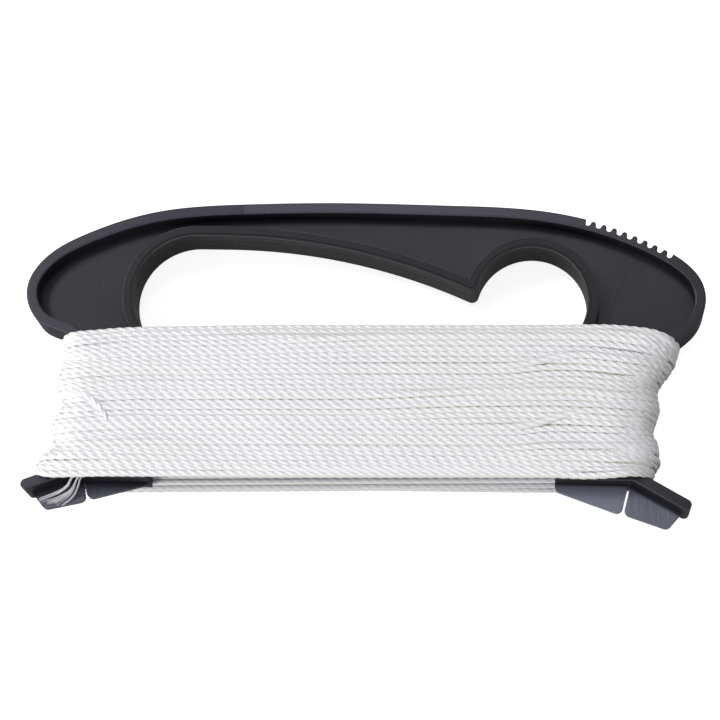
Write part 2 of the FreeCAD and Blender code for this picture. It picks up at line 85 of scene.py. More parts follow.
LINE = 1.66                 # diameter of the twisted line
LAY = 8.7                   # one full twist of its three strands
ROW_PITCH = 1.525           # from one turn on a face to the next
FIRST_ROW = -36.12          # y of the lowest row's middle at x = 0
TOP_ROW = 29
TILT = math.tan(math.radians(1.05))     # of the rows against the x axis
TILT_REACH = 84.0           # x at which the sides' share of that tilt is counted

# The three layers.
# rows: on the faces, in the order they are laid
# height: over the moulding; the second layer lies close under the outer one, to fill its gaps
# depth: 0 against the moulding's side, 1 outermost
# raised: how much higher the lowest turn lies in front than behind
# uneven, swing: how far turns stray from their rows, and how far they wave
# round: how far before the moulding's edge the turns begin to round it
# places: where turns at some height on the faces round the side, face and side
LAYERS = [
    {"rows": range(27, 0, -1), "height": 0.83, "depth": 0.0, "raised": 0.0,
     "uneven": 0.03, "swing": 0.08,
     "left": {"round": 0.0, "places": [(-34.5, -31.0), (5.0, -1.0)]},
     "right": {"round": 0.0, "places": [(-34.5, -32.0), (5.0, 1.6)]}},
    {"rows": range(0, 29), "height": 2.95, "depth": 0.6, "raised": 1.4,
     "uneven": 0.03, "swing": 0.08,
     "left": {"round": 1.5, "places": [(-36.1, -32.6), (-28.0, -28.0), (6.5, 3.2)]},
     "right": {"round": 5.0, "places": [(-36.1, -33.0), (-28.0, -28.0), (6.5, 3.2)]}},
    {"rows": range(TOP_ROW, -1, -1), "height": 3.55, "depth": 1.0, "raised": 0.45,
     "uneven": 0.05, "swing": 0.13,
     "left": {"round": 3.5, "places": [
         (-35.4, -34.35), (-33.9, -33.3), (-31.5, -31.5), (-28.0, -28.6), (0.0, -0.9),
         (8.2, 6.0)]},
     "right": {"round": 8.5, "places": [
         (-36.4, -34.9), (-34.4, -34.6), (-32.6, -33.3), (-28.0, -28.4), (-20.0, -20.6),
         (-8.0, -9.6), (0.0, -3.0), (8.2, 4.1)]}},
]
OUTER = LAYERS[-1]

# How far the turns laid before it raise a turn over its layer's height
STATIONS = 32               # places along a face where its height is found
SQUEEZE = 1.30              # turns nearer than this ride up on each other
RIDE = 1.45                 # height of a turn that lies straight on another one
APART = -99.0               # lift between turns that don't meet
PRESSED = 0.30              # share of that rise that a turn keeps: the rest sinks into the others
GENTLE = 0.075              # steepest rise of a turn over the ones below it
MOST_PILED = 0.8            # most by which a turn over its layer's height lifts later ones
HIGHEST = {FRONT: 4.3, BACK: 3.6}       # over the moulding

# How it rounds a side
ACROSS_LINE = np.linspace(-0.98, 0.98, 15)  # where it may touch the side, in shares of its radius
NEARBY = np.array((-3.0, 0.0, 3.0))     # heights about a turn over which outer ones even it out
TOP_SLIDE = 0.2             # share of its height above the waist by which it slides up the side
LEAST_PAD = 0.4             # least thickness of the inner layers at a side
CORNER_STEPS = 5

# Unevenness of winding by hand
WINDING_SEED = 41
HAND_ROW, HAND_OUT = 0.13, 0.12         # spread of a turn's height at a side, and of its bulge
SWINGS = (0.3, 1.0)         # bounds of the share of a layer's swing that a turn takes
LONG_WAVE, SHORT_WAVE = 0.021, 0.057    # of a turn on the front, radians for each mm

# The lowest outer turns roll off over the pack's lower edge, between two places along x
ROLLED = 7.0                # height of the pack in which they do
ROLL_STARTS, ROLL_GROWS = -60.0, 50.0   # where it starts, and over what length it grows
ROLL_ENDS, ROLL_FADES = 60.0, 16.0
ROLL_DEPTH = 0.95
ROLL_LEAN = 0.85            # radians by which the lowest turn's flat side leans over

# The highest outer turns sink to the left, and the lowest sag near the right leg
SINK, SINK_FROM, SINK_OVER = 0.9, -15.0, 60.0
SAG, SAG_ROWS, SAG_FROM, SAG_OVER = 0.8, 3, 57.0, 15.0

# Outer turns that were laid slantwise over the ones above them: where along x, and how far up
SLANTED = {9: (45.0, 70.0, 5.6), 21: (43.0, 64.0, 3.5), 15: (-6.0, 44.0, 1.6),
           26: (-38.0, 12.0, 1.4)}
FOLLOWING, MOST_FOLLOWED = 7, 1.4       # rows below that close up, and how far
PARTING, MOST_PARTED = 5, 0.5           # rows above that are pushed down, and how far

# The line's start: knot behind the right leg, hole, up its pocket and over the edge
START = [
    (69.55, -26.15, 8.1), (69.55, -26.15, 10.9), (69.6, -26.0, 13.2), (69.2, -22.0, 13.6),
    (68.4, -14.0, 13.8), (67.6, -6.0, 14.2), (66.8, 0.0, 15.4), (67.3, 3.2, 17.6),
    (70.5, 4.8, 18.8), (76.0, 5.0, 18.7),
]
# The line's end: slantwise over a few turns, then tucked under the lower ones and out below
TUCK_ROW = 16               # height at which it comes round to the front once more
TUCK_BULGE, TUCK_HEIGHT = 0.1, 3.9
END = [
    (-80.4, -13.7, 21.6), (-77.0, -15.5, 21.8), (-74.6, -18.1, 21.85), (-72.6, -21.0, 21.5),
    (-71.5, -24.5, 20.6), (-71.3, -29.0, 20.2), (-72.2, -33.6, 20.2), (-74.4, -35.9, 20.3),
    (-77.0, -36.7, 20.4),
]


def clamp01(value):
    return min(1.0, max(0.0, value))


def ease(value):
    """Smooth step from 0 to 1."""
    value = clamp01(value)
    return value * value * (3.0 - 2.0 * value)


def mix(a, b, share):
    return a + (b - a) * share


# ------------------------------------------------------------------ camera

VIEW_AZIMUTH = math.radians(15.95)
VIEW_ELEVATION = math.radians(73.66)
VIEW_ROLL = math.radians(14.34)
VIEW_DISTANCE = 690.3
VIEW_TARGET = Vector((-0.5, 0.95, MIDDLE))
LENS, SENSOR = 117.0, 36.0
NEAREST_SEEN = 0.01


def make_camera():
    away = Vector((
        math.sin(VIEW_AZIMUTH) * math.cos(VIEW_ELEVATION),
        -math.cos(VIEW_AZIMUTH) * math.cos(VIEW_ELEVATION),
        math.sin(VIEW_ELEVATION),
    ))
    level = Vector((math.cos(VIEW_AZIMUTH), math.sin(VIEW_AZIMUTH), 0.0))
    rise = away.cross(level)
    right = level * math.cos(VIEW_ROLL) - rise * math.sin(VIEW_ROLL)
    up = level * math.sin(VIEW_ROLL) + rise * math.cos(VIEW_ROLL)
    turn = Matrix((right, up, away)).transposed().to_4x4()
    data = bpy.data.cameras.new("camera")
    data.lens = LENS
    data.sensor_width = SENSOR
    data.clip_start = NEAREST_SEEN
    camera = bpy.data.objects.new("camera", data)
    camera.matrix_world = Matrix.Translation((VIEW_TARGET + away * VIEW_DISTANCE) * MM) @ turn
    bpy.context.scene.collection.objects.link(camera)
    bpy.context.scene.camera = camera


# ------------------------------------------------------------------ mesh helpers

def add_mesh(name, verts, faces, uvs):
    """Smooth mesh object from points in mm; uvs holds one pair for each corner of each face."""
    mesh = bpy.data.meshes.new(name)
    mesh.from_pydata([tuple(v) for v in np.asarray(verts) * MM], [], faces)
    layer = mesh.uv_layers.new(name="along")
    layer.data.foreach_set("uv", np.asarray(uvs, dtype=np.float32).ravel())
    mesh.polygons.foreach_set("use_smooth", [True] * len(mesh.polygons))
    mesh.update()
    made = bpy.data.objects.new(name, mesh)
    bpy.context.scene.collection.objects.link(made)
    return made


def spline_points(points, steps):
    """Close points along a smooth curve that has the given points as its control points."""
    data = bpy.data.curves.new("route", "CURVE")
    data.dimensions = "3D"
    data.resolution_u = steps
    spline = data.splines.new("NURBS")
    spline.points.add(len(points) - 1)
    flat = np.ones((len(points), 4), dtype=np.float32)
    flat[:, :3] = points
    spline.points.foreach_set("co", flat.ravel())
    spline.order_u = 3
    spline.use_endpoint_u = True
    holder = bpy.data.objects.new("route", data)
    bpy.context.scene.collection.objects.link(holder)
    mesh = bpy.data.meshes.new_from_object(holder)
    out = np.empty(len(mesh.vertices) * 3, dtype=np.float32)
    mesh.vertices.foreach_get("co", out)
    bpy.data.objects.remove(holder)
    bpy.data.curves.remove(data)
    bpy.data.meshes.remove(mesh)
    return out.reshape(-1, 3).astype(float)


def along(points):
    """Distance travelled at each point."""
    steps = np.linalg.norm(np.diff(points, axis=0), axis=1)
    return np.concatenate([[0.0], np.cumsum(steps)])


def resample(points, places):
    """Points at the given distances along a path."""
    travelled = along(points)
    return np.stack([np.interp(places, travelled, points[:, i]) for i in range(3)], axis=1)


def evenly(points, count):
    """The given number of places from one end of a path to the other."""
    return np.linspace(0.0, along(points)[-1], count)


NEARLY_ALONG = 0.9          # share of a direction from which it counts as along an axis


def carried_frames(points):
    """Two directions across the path at each point, carried along without turning."""
    tangents = np.gradient(points, axis=0)
    tangents /= np.linalg.norm(tangents, axis=1)[:, None]
    runs_along_y = abs(tangents[0][1]) >= NEARLY_ALONG
    side = np.cross(tangents[0], (1.0, 0.0, 0.0) if runs_along_y else (0.0, 1.0, 0.0))
    sides = np.empty_like(points)
    for i, tangent in enumerate(tangents):
        side = side - tangent * np.dot(side, tangent)
        side /= np.linalg.norm(side)
        sides[i] = side
    return sides, np.cross(tangents, sides)


# ------------------------------------------------------------------ winding the line

def side_base(side, y):
    """Least distance out at which the line clears the moulding's side at height y."""
    ys, xs = zip(*side["profile"])
    spread = ACROSS_LINE * 0.5 * LINE
    wall = np.interp(y + spread, ys, xs)
    reach = np.sqrt((0.5 * LINE) ** 2 - spread ** 2)
    return float(np.max(side["outward"] * wall + reach))


def lift(gap):
    """How far a turn is lifted by one that lies a gap aside."""
    share = abs(gap) / SQUEEZE
    return RIDE * math.sqrt(1.0 - share * share) if share < 1.0 else APART


def rest_height(base, place, laid):
    """Height at which a turn comes to rest on the ones laid before it."""
    return max([base] + [height + lift(place - other) for other, height in laid])


def gentle_rise(places, heights):
    """Heights with no rise steeper than the line can make."""
    away = np.abs(places[:, None] - places[None, :]) * GENTLE
    return np.max(np.asarray(heights)[None, :] - away, axis=1)


def round_side(side, row, depth, bulge):
    """Where a turn rounds one side. depth is 0 in the first layer and 1 in the last."""
    outward, profile = side["outward"], side["profile"]
    y = row + TILT * outward * TILT_REACH
    base = side_base(side, y)
    lump = abs(float(np.interp(y, *zip(*side["lumps"]))))
    out = base + depth * max(lump - base, LEAST_PAD) + depth * bulge
    (waist_low, _), (waist_high, _) = profile[1:3]
    slide = TOP_SLIDE * (y - waist_high) if y > waist_high else min(
        0.0, side["slip"] * (y - waist_low))
    around = y + 0.5 * slide + NEARBY * depth
    edge = float(np.mean(np.interp(around, *zip(*profile))))
    return {"side": side, "row": y + slide - TILT * outward * TILT_REACH, "y": y,
            "edge_y": y + slide, "edge": edge, "out": outward * out}


def corner(place, height, facing, layer, towards_side):
    """Rounding of the moulding's edge between a face and a side."""
    setback = layer[place["side"]["name"]]["round"]
    start = place["edge"] - place["side"]["outward"] * setback
    drop = 0.5 * setback
    spots = []
    for i in range(1, CORNER_STEPS + 1):
        turn = math.radians(90.0 * i / CORNER_STEPS)
        across = start + (place["out"] - start) * math.sin(turn)
        up = (height + drop) * math.cos(turn) - drop
        spots.append((across, mix(place["edge_y"], place["y"], ease(i / CORNER_STEPS)),
                      MIDDLE + facing * (HALF_DEPTH + up)))
    return spots if towards_side else spots[::-1]


def span(left, right, layer):
    """Places along x from one rounding of a face to the other."""
    return np.linspace(left["edge"] + layer["left"]["round"],
                       right["edge"] - layer["right"]["round"], STATIONS)


def row_at(x, level, left, right):
    """A turn's place across the face at x, gathered towards the edges at both ends."""
    (left_reach, left_length), (right_reach, right_length) = LEFT["gather"], RIGHT["gather"]
    spread = mix(level, left["row"], ease((left["edge"] + left_reach - x) / left_length))
    return mix(spread, right["row"], ease((x - right["edge"] + right_reach) / right_length))


def roll_off(row_y, x):
    """Share by which the lowest outer turns roll over the pack's edge, clear of the left leg."""
    low = 1.0 - ease((row_y - FIRST_ROW - OUTER["raised"]) / ROLLED)
    return low * ease((x - ROLL_STARTS) / ROLL_GROWS)


def drift(row, x):
    """How far an outer turn strays from its row: it sinks, sags, slants or makes room."""
    stray = -SINK * (row / TOP_ROW) ** 2 * ease((SINK_FROM - x) / SINK_OVER)
    if row < SAG_ROWS:
        stray -= SAG * (1.0 - row / SAG_ROWS) * ease((x - SAG_FROM) / SAG_OVER)
    if row in SLANTED:
        start, end, climb = SLANTED[row]
        return stray + climb * ease((x - start) / (end - start))
    for slanted, (start, end, climb) in SLANTED.items():
        share = ease((x - start) / (end - start))
        if slanted - FOLLOWING < row < slanted:
            stray += min(climb * share, MOST_FOLLOWED) * (row - slanted + FOLLOWING) / FOLLOWING
        elif slanted < row < slanted + PARTING:
            stray -= MOST_PARTED * share * (slanted + PARTING - row) / PARTING
    return stray


def raised(row, layer):
    """How much higher a turn lies in front than behind."""
    return layer["raised"] * (1.0 - row / TOP_ROW)


def row_path(dice, row, layer):
    """A turn's place across the front as a function of x, before it is gathered at the edges."""
    level = FIRST_ROW + ROW_PITCH * (row + dice.gauss(0.0, layer["uneven"]))
    level += raised(row, layer)
    phase = dice.uniform(*ANY_ANGLE)
    swing = dice.uniform(*SWINGS) * layer["swing"]

    def shape(x):
        wave = math.sin(LONG_WAVE * x + phase) + 0.5 * math.sin(SHORT_WAVE * x + 2.0 * phase)
        return level + swing * wave + (drift(row, x) if layer is OUTER else 0.0)
    return shape


def round_by_hand(dice, side, shape, layer):
    """Where a turn of the layer rounds one side, a little uneven."""
    places = layer[side["name"]]["places"]
    row = np.interp(shape(side["read"]), *zip(*places)) + dice.gauss(0.0, HAND_ROW)
    return round_side(side, row, layer["depth"], dice.gauss(0.0, HAND_OUT))


class Winding:
    """Turns laid one after another on the two legs, raised a little where they cross others."""

    def __init__(self, points):
        self.laid = {facing: [[] for _ in range(STATIONS)] for facing in (FRONT, BACK)}
        self.points = points

    def face(self, facing, xs, rows, layer):
        """Heights of one span over a face, in order from left to right."""
        nominal, laid = layer["height"], self.laid[facing]
        heights = [rest_height(0.5 * LINE, row, under) for row, under in zip(rows, laid)]
        heights = gentle_rise(np.asarray(xs), heights)
        for row, height, under in zip(rows, heights, laid):
            under.append((row, min(height, nominal + MOST_PILED)))
        return np.minimum(nominal + PRESSED * (heights - nominal), HIGHEST[facing])

    def front(self, left, right, shape, layer):
        """Span over the front from left to right."""
        xs = span(left, right, layer)
        rows = [row_at(x, shape(x), left, right) for x in xs]
        heights = self.face(FRONT, xs, rows, layer)
        if layer is OUTER:
            heights -= [ROLL_DEPTH * roll_off(row, x) * (1.0 - ease((x - ROLL_ENDS) / ROLL_FADES))
                        for x, row in zip(xs, rows)]
        self.points += corner(left, heights[0], FRONT, layer, False)
        self.points += [(x, row + TILT * x, MIDDLE + HALF_DEPTH + height)
                        for x, row, height in zip(xs, rows, heights)]
        self.points += corner(right, heights[-1], FRONT, layer, True)

    def back(self, left, right, levels, layer):
        """Span over the back from right to left, between two rows, given left and right."""
        xs = span(left, right, layer)
        shares = np.linspace(0.0, 1.0, STATIONS)
        rows = [row_at(x, mix(*levels, share), left, right) for x, share in zip(xs, shares)]
        heights = self.face(BACK, xs, rows, layer)
        self.points += corner(right, heights[-1], BACK, layer, False)
        self.points += [(x, row + TILT * x, MIDDLE - HALF_DEPTH - height)
                        for x, row, height in zip(xs, rows, heights)][::-1]
        self.points += corner(left, heights[0], BACK, layer, True)


def wind_line():
    """Routes of the two hidden layers and of the outer layer, point by point."""
    dice = random.Random(WINDING_SEED)
    first = LAYERS[0]
    right = round_side(RIGHT, first["right"]["places"][-1][1], 0.0, 0.0)
    winding = Winding(START + corner(right, first["height"], FRONT, first, True))
    routes = []
    level = FIRST_ROW + ROW_PITCH * first["rows"][0]
    for layer in LAYERS:
        for row in layer["rows"]:
            shape = row_path(dice, row, layer)
            left = round_by_hand(dice, LEFT, shape, layer)
            behind = shape(0.0) - raised(row, layer)
            winding.back(left, right, (behind, level), layer)
            level = behind
            if layer is OUTER and row == TOP_ROW:
                routes.append(winding.points)
                winding.points = winding.points[-2:]
            right = round_by_hand(dice, RIGHT, shape, layer)
            winding.front(left, right, shape, layer)
    tuck = FIRST_ROW + ROW_PITCH * TUCK_ROW
    left = round_side(LEFT, tuck, OUTER["depth"], TUCK_BULGE)
    winding.back(left, right, (tuck, level), OUTER)
    winding.points += corner(left, TUCK_HEIGHT, FRONT, OUTER, False)
    routes.append(winding.points + END)
    return routes


# ------------------------------------------------------------------ the line's mesh

# Outline of three twisted strands: outermost point, flank, crease, flank, three times over
STRANDS = (0.88, 0.81, 0.63, 0.81) * 3
PLAIN = (0.80,) * 8         # plain round outline of the hidden layers
PRESSED_FLAT = np.array((0.84, 1.34, 0.84))     # flat, and wide enough to overlap the next
SPLINE_STEPS = 6            # from one control point to the next
RINGS_PER_LAY = 9
MOST_TURNED, LONGEST_STEP = math.radians(13.0), 4.5     # between two rings of a hidden layer


def sparse_places(points):
    """Distances along the points, close where they bend and far apart where they are straight."""
    travelled = along(points)
    steps = np.diff(points, axis=0)
    steps /= np.linalg.norm(steps, axis=1)[:, None]
    bends = np.arccos(np.clip(np.sum(steps[1:] * steps[:-1], axis=1), -1.0, 1.0))
    places = [0.0]
    turned = 0.0
    for bend, place in zip(bends, travelled[1:-1]):
        turned += bend
        if turned > MOST_TURNED or place - places[-1] > LONGEST_STEP:
            places.append(place)
            turned = 0.0
    return np.array(places + [travelled[-1]])


def leaned(offsets, lean):
    """Offsets from each centre, turned about the long way of the winder."""
    across, above = offsets[:, :, 1].copy(), offsets[:, :, 2].copy()
    offsets[:, :, 1] = np.cos(lean) * across - np.sin(lean) * above
    offsets[:, :, 2] = np.sin(lean) * across + np.cos(lean) * above
    return offsets


def line_tube(name, centres, places, outline, twisted, pressed=PRESSED_FLAT, lean=0.0):
    """Tube along the centres; a twisted one turns its outline once in each lay.

    pressed is its shape along x, y and z, and lean the angle at each centre by which that turns
    about the long way of the winder.
    """
    sides, ups = carried_frames(centres)
    count, around = len(centres), len(outline)
    angles = np.linspace(0.0, WHOLE_TURN, around, endpoint=False)
    twist = places / LAY if twisted else np.zeros(count)
    turn = angles[None, :] + WHOLE_TURN * twist[:, None]
    offsets = np.asarray(outline)[None, :, None] * pressed * (
        np.cos(turn)[:, :, None] * sides[:, None, :] + np.sin(turn)[:, :, None] * ups[:, None, :])
    verts = centres[:, None, :] + leaned(offsets, np.broadcast_to(lean, count)[:, None])

    ring = np.arange(around)
    start = (np.arange(count - 1) * around)[:, None]
    low, low_next = start + ring, start + (ring + 1) % around
    faces = np.stack([low, low_next, low_next + around, low + around], axis=2).reshape(-1, 4)
    caps = [list(range(around))[::-1], list(range((count - 1) * around, count * around))]

    u = ring[None, :] / around + twist[:, None]
    near, far, step = u[:-1], u[1:], 1.0 / around
    v_near = np.repeat(places[:-1, None], around, axis=1)
    v_far = np.repeat(places[1:, None], around, axis=1)
    uvs = np.stack([near, v_near, near + step, v_near, far + step, v_far, far, v_far], axis=2)
    uvs = np.concatenate([uvs.reshape(-1, 2), np.zeros((2 * around, 2))])
    return add_mesh(name, verts.reshape(-1, 3), faces.tolist() + caps, uvs)


def declare_line(made):
    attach(made, "root")


# Loose bundles of the frayed end. Each spreads from its first guide to its second.
FRAYED = {
    "tail_strand_upper": {"filaments": 40, "thick": 0.30, "guides": (
        [(-77.0, -36.6, 20.6), (-80.4, -37.2, 20.7), (-82.5, -38.4, 20.0), (-83.4, -39.9, 18.0),
         (-85.4, -40.6, 15.4), (-87.9, -41.5, 13.5), (-93.9, -43.5, 12.6)],
        [(-77.0, -36.7, 20.6), (-80.2, -37.4, 20.6), (-82.1, -38.6, 19.9), (-83.1, -40.2, 17.8),
         (-85.2, -41.1, 15.2), (-87.6, -42.1, 13.4), (-93.0, -44.2, 12.6)])},
    "tail_strand_middle": {"filaments": 40, "thick": 0.24, "guides": (
        [(-77.0, -36.8, 20.5), (-79.3, -37.4, 20.5), (-81.0, -38.5, 19.8), (-81.9, -39.8, 17.6),
         (-83.6, -41.2, 14.6), (-87.0, -42.9, 13.2), (-93.2, -44.5, 12.5)],
        [(-77.0, -36.8, 20.4), (-79.0, -37.5, 20.4), (-80.3, -38.6, 19.7), (-81.2, -39.9, 17.5),
         (-82.4, -41.5, 14.2), (-84.2, -43.4, 12.9), (-87.4, -45.6, 12.4)])},
    "tail_strand_lower": {"filaments": 20, "thick": 0.20, "guides": (
        [(-77.0, -36.9, 20.4), (-78.8, -37.6, 20.3), (-79.9, -38.6, 19.6), (-80.7, -40.0, 17.2),
         (-82.1, -41.6, 13.9), (-83.9, -43.4, 12.8), (-86.9, -45.5, 12.4)],
        [(-77.0, -36.9, 20.4), (-78.7, -37.6, 20.3), (-79.7, -38.6, 19.5), (-80.4, -40.1, 17.1),
         (-81.7, -41.7, 13.7), (-83.2, -43.4, 12.7), (-85.2, -45.3, 12.4)])},
}
GUIDE_STEPS = 10            # from one of a guide's points to the next
TAIL_STATIONS = 30          # along a whole filament
SHORTEST = 0.86             # of the ragged filaments, as a share of the bundle
FILAMENT = 0.068            # half a filament's thickness at its root
TIP_THINNER, TIP_FLATTER = 0.45, 0.5    # shares lost by a filament and by its bundle at the tip
OPENING = 1.4               # how soon the bundle has opened to its full width
CURL, WRIGGLE = 5.0, 11.0   # radians from root to tip
SWAYS = (0.02, 0.09)        # bounds of a filament's wriggle


def frayed_bundle(name, filaments, thick, guides):
    """Fine filaments that part between two guides, from the twist to their ragged tips."""
    dice = random.Random(name)
    cores = []
    for guide in guides:
        curve = spline_points(guide, GUIDE_STEPS)
        cores.append(resample(curve, evenly(curve, TAIL_STATIONS)))
    shares = np.linspace(0.0, 1.0, TAIL_STATIONS)
    sides, ups = carried_frames(cores[0])
    verts, faces, uvs = [], [], []
    for _ in range(filaments):
        between = dice.random()
        angle, reach = dice.uniform(*ANY_ANGLE), thick * math.sqrt(dice.random())
        phase, sway = dice.uniform(*ANY_ANGLE), dice.uniform(*SWAYS)
        used = int(TAIL_STATIONS * dice.uniform(SHORTEST, 1.0))
        base = len(verts)
        for i in range(used):
            s = shares[i]
            spread = mix(0.5, between, ease(OPENING * s))
            turn = angle + CURL * s
            aside = reach * math.cos(turn) + sway * math.sin(WRIGGLE * s + phase)
            above = reach * math.sin(turn) * (1.0 - TIP_FLATTER * s)
            spot = mix(cores[0][i], cores[1][i], spread) + sides[i] * aside + ups[i] * above
            thin = FILAMENT * (1.0 - TIP_THINNER * s)
            verts += [spot + sides[i] * thin, spot + ups[i] * thin,
                      spot - sides[i] * thin, spot - ups[i] * thin]
        for n in range(used - 1):
            a = base + 4 * n
            for j in range(4):
                k = (j + 1) % 4
                faces.append((a + j, a + k, a + 4 + k, a + 4 + j))
                uvs += [(between, shares[n])] * 2 + [(between, shares[n + 1])] * 2
        end = base + 4 * (used - 1)
        faces += [(base + 3, base + 2, base + 1, base), (end, end + 1, end + 2, end + 3)]
        uvs += [(between, 0.0)] * 4 + [(between, 1.0)] * 4
    made = add_mesh(name, verts, faces, uvs)
    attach(made, "root")
    return made


KNOT_MIDDLE, KNOT_SIZE, KNOT_DEPTH = (69.55, -26.15, 7.5), 0.45, 0.72
KNOT_STEP = 12              # degrees between control points of the knot's loops
KNOT_RINGS = 90
KNOT_PRESSED = np.array((0.9, 0.9, 0.9))


def start_knot():
    """Tight overhand knot that stops the line's start behind the hole."""
    x, y, z = KNOT_MIDDLE
    loops = [math.radians(angle) for angle in range(0, 360 + KNOT_STEP, KNOT_STEP)]
    curve = spline_points([(x + KNOT_SIZE * (math.sin(t) + 2.0 * math.sin(2.0 * t)),
                            y + KNOT_SIZE * (math.cos(t) - 2.0 * math.cos(2.0 * t)),
                            z - KNOT_DEPTH * math.sin(3.0 * t)) for t in loops], SPLINE_STEPS)
    places = evenly(curve, KNOT_RINGS)
    made = line_tube("line_stopper_knot", resample(curve, places), places, STRANDS, True,
                     KNOT_PRESSED)
    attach(made, "root")
    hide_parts("line_start_knot")
    return made


def make_line():
    hidden, outer = wind_line()
    strands = [frayed_bundle(name, **values) for name, values in FRAYED.items()]
    points = spline_points(outer, SPLINE_STEPS)
    places = evenly(points, int(along(points)[-1] / LAY * RINGS_PER_LAY))
    centres = resample(points, places)
    in_front = centres[:, 2] > MIDDLE + HALF_DEPTH
    lean = [ROLL_LEAN * roll_off(y - TILT * x, x) for x, y, _ in centres] * in_front
    top = line_tube("wound_line_outer_turns", centres, places, STRANDS, True, lean=lean)
    declare_line(top)
    points = spline_points(hidden, SPLINE_STEPS)
    places = sparse_places(points)
    centres = resample(points, places)
    under = line_tube("wound_line_inner_turns", centres, places, PLAIN, False)
    knot = start_knot()
    declare_line(under)
    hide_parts("wound_line", "line_tail")
    return [top, under, knot] + strands


# ------------------------------------------------------------------ shader helpers

def link(tree, source, target):
    tree.links.new(source, target)


def node(tree, kind, **settings):
    made = tree.nodes.new(kind)
    for name, value in settings.items():
        setattr(made, name, value)
    return made


def feed(tree, socket, value):
    """Sets a socket, or links it where the value comes from another node."""
    if isinstance(value, (int, float, tuple)):
        socket.default_value = value
    else:
        link(tree, value, socket)


def maths(tree, operation, *values, **settings):
    made = node(tree, "ShaderNodeMath", operation=operation, **settings)
    for socket, value in zip(made.inputs, values):
        feed(tree, socket, value)
    return made.outputs[0]


def times(tree, first, second):
    return maths(tree, "MULTIPLY", first, second)


def inverse(tree, share):
    return maths(tree, "SUBTRACT", 1.0, share)


def vector_maths(tree, operation, first, second, output="Vector"):
    made = node(tree, "ShaderNodeVectorMath", operation=operation)
    for socket, value in zip(made.inputs, (first, second)):
        feed(tree, socket, value)
    return made.outputs[output]


def components(tree, vector):
    """The x, y and z of a vector."""
    made = node(tree, "ShaderNodeSeparateXYZ")
    link(tree, vector, made.inputs[0])
    return made.outputs


def own_place(tree):
    """Place on the object, in metres."""
    return node(tree, "ShaderNodeTexCoord").outputs["Object"]


def ramp(tree, value, low, high):
    """Smooth step of a value between low and high."""
    made = node(tree, "ShaderNodeMapRange", interpolation_type="SMOOTHSTEP")
    link(tree, value, made.inputs["Value"])
    made.inputs["From Min"].default_value = low
    made.inputs["From Max"].default_value = high
    return made.outputs["Result"]


def mixed_colour(tree, share, first, second):
    made = node(tree, "ShaderNodeMix", data_type="RGBA")
    link(tree, share, made.inputs[0])
    for socket, value in ((made.inputs[6], first), (made.inputs[7], second)):
        feed(tree, socket, (*value, 1.0) if isinstance(value, tuple) else value)
    return made.outputs[2]


def noise(tree, place, scale, detail=3.0, rough=0.5):
    made = node(tree, "ShaderNodeTexNoise")
    link(tree, place, made.inputs["Vector"])
    feed(tree, made.inputs["Scale"], scale)
    made.inputs["Detail"].default_value = detail
    made.inputs["Roughness"].default_value = rough
    return made.outputs["Fac"]


def streaky(tree, place, scales, detail=3.0, rough=0.5):
    """Noise with a scale of its own along each axis."""
    made = node(tree, "ShaderNodeMapping")
    link(tree, place, made.inputs["Vector"])
    made.inputs["Scale"].default_value = scales
    return noise(tree, made.outputs["Vector"], 1.0, detail, rough)


def new_group(name, inputs, outputs):
    """Node group with the given sockets, its input node and its output node."""
    group = bpy.data.node_groups.new(name, "ShaderNodeTree")
    for label, kind in inputs.items():
        group.interface.new_socket(label, in_out="INPUT", socket_type="NodeSocket" + kind)
    for label, kind in outputs.items():
        group.interface.new_socket(label, in_out="OUTPUT", socket_type="NodeSocket" + kind)
    given = group.nodes.new("NodeGroupInput").outputs
    return group, given, group.nodes.new("NodeGroupOutput").inputs


def place_group(tree, group, **values):
    made = node(tree, "ShaderNodeGroup", node_tree=group)
    for name, value in values.items():
        made.inputs[name.replace("_", " ")].default_value = value
    return made.outputs


def new_material(name, **sockets):
    material = bpy.data.materials.new(name)
    material.use_nodes = True
    tree = material.node_tree
    tree.nodes.clear()
    surface = node(tree, "ShaderNodeBsdfPrincipled")
    out = node(tree, "ShaderNodeOutputMaterial")
    link(tree, surface.outputs["BSDF"], out.inputs["Surface"])
    for socket, value in sockets.items():
        surface.inputs[socket.replace("_", " ")].default_value = value
    return material, tree, surface.inputs


def bumped(tree, surface, height, strength, distance):
    bump = node(tree, "ShaderNodeBump")
    bump.inputs["Strength"].default_value = strength
    bump.inputs["Distance"].default_value = distance
    link(tree, height, bump.inputs["Height"])
    link(tree, bump.outputs["Normal"], surface["Normal"])


# ------------------------------------------------------------------ shared effects

FLOW_SCALES = (60.0, 420.0, 300.0)      # flow marks run along the handle
CLOUD_SCALE = 45.0
UNEVEN_GLOSS = 0.16         # spread of the roughness


def moulded_skin_group():
    """Fine spark-eroded grain with faint flow marks, and the roughness that goes with it."""
    group, given, result = new_group(
        "moulded_skin", {"Grain Scale": "Float", "Flow": "Float", "Roughness": "Float"},
        {"Height": "Float", "Roughness": "Float", "Cloud": "Float"})
    place = own_place(group)
    grain = noise(group, place, given["Grain Scale"])
    flow = streaky(group, place, FLOW_SCALES)
    cloud = noise(group, place, CLOUD_SCALE)
    link(group, maths(group, "MULTIPLY_ADD", flow, given["Flow"], grain), result["Height"])
    uneven = maths(group, "MULTIPLY_ADD", maths(group, "SUBTRACT", cloud, 0.5), UNEVEN_GLOSS,
                   given["Roughness"])
    link(group, uneven, result["Roughness"])
    link(group, cloud, result["Cloud"])
    return group


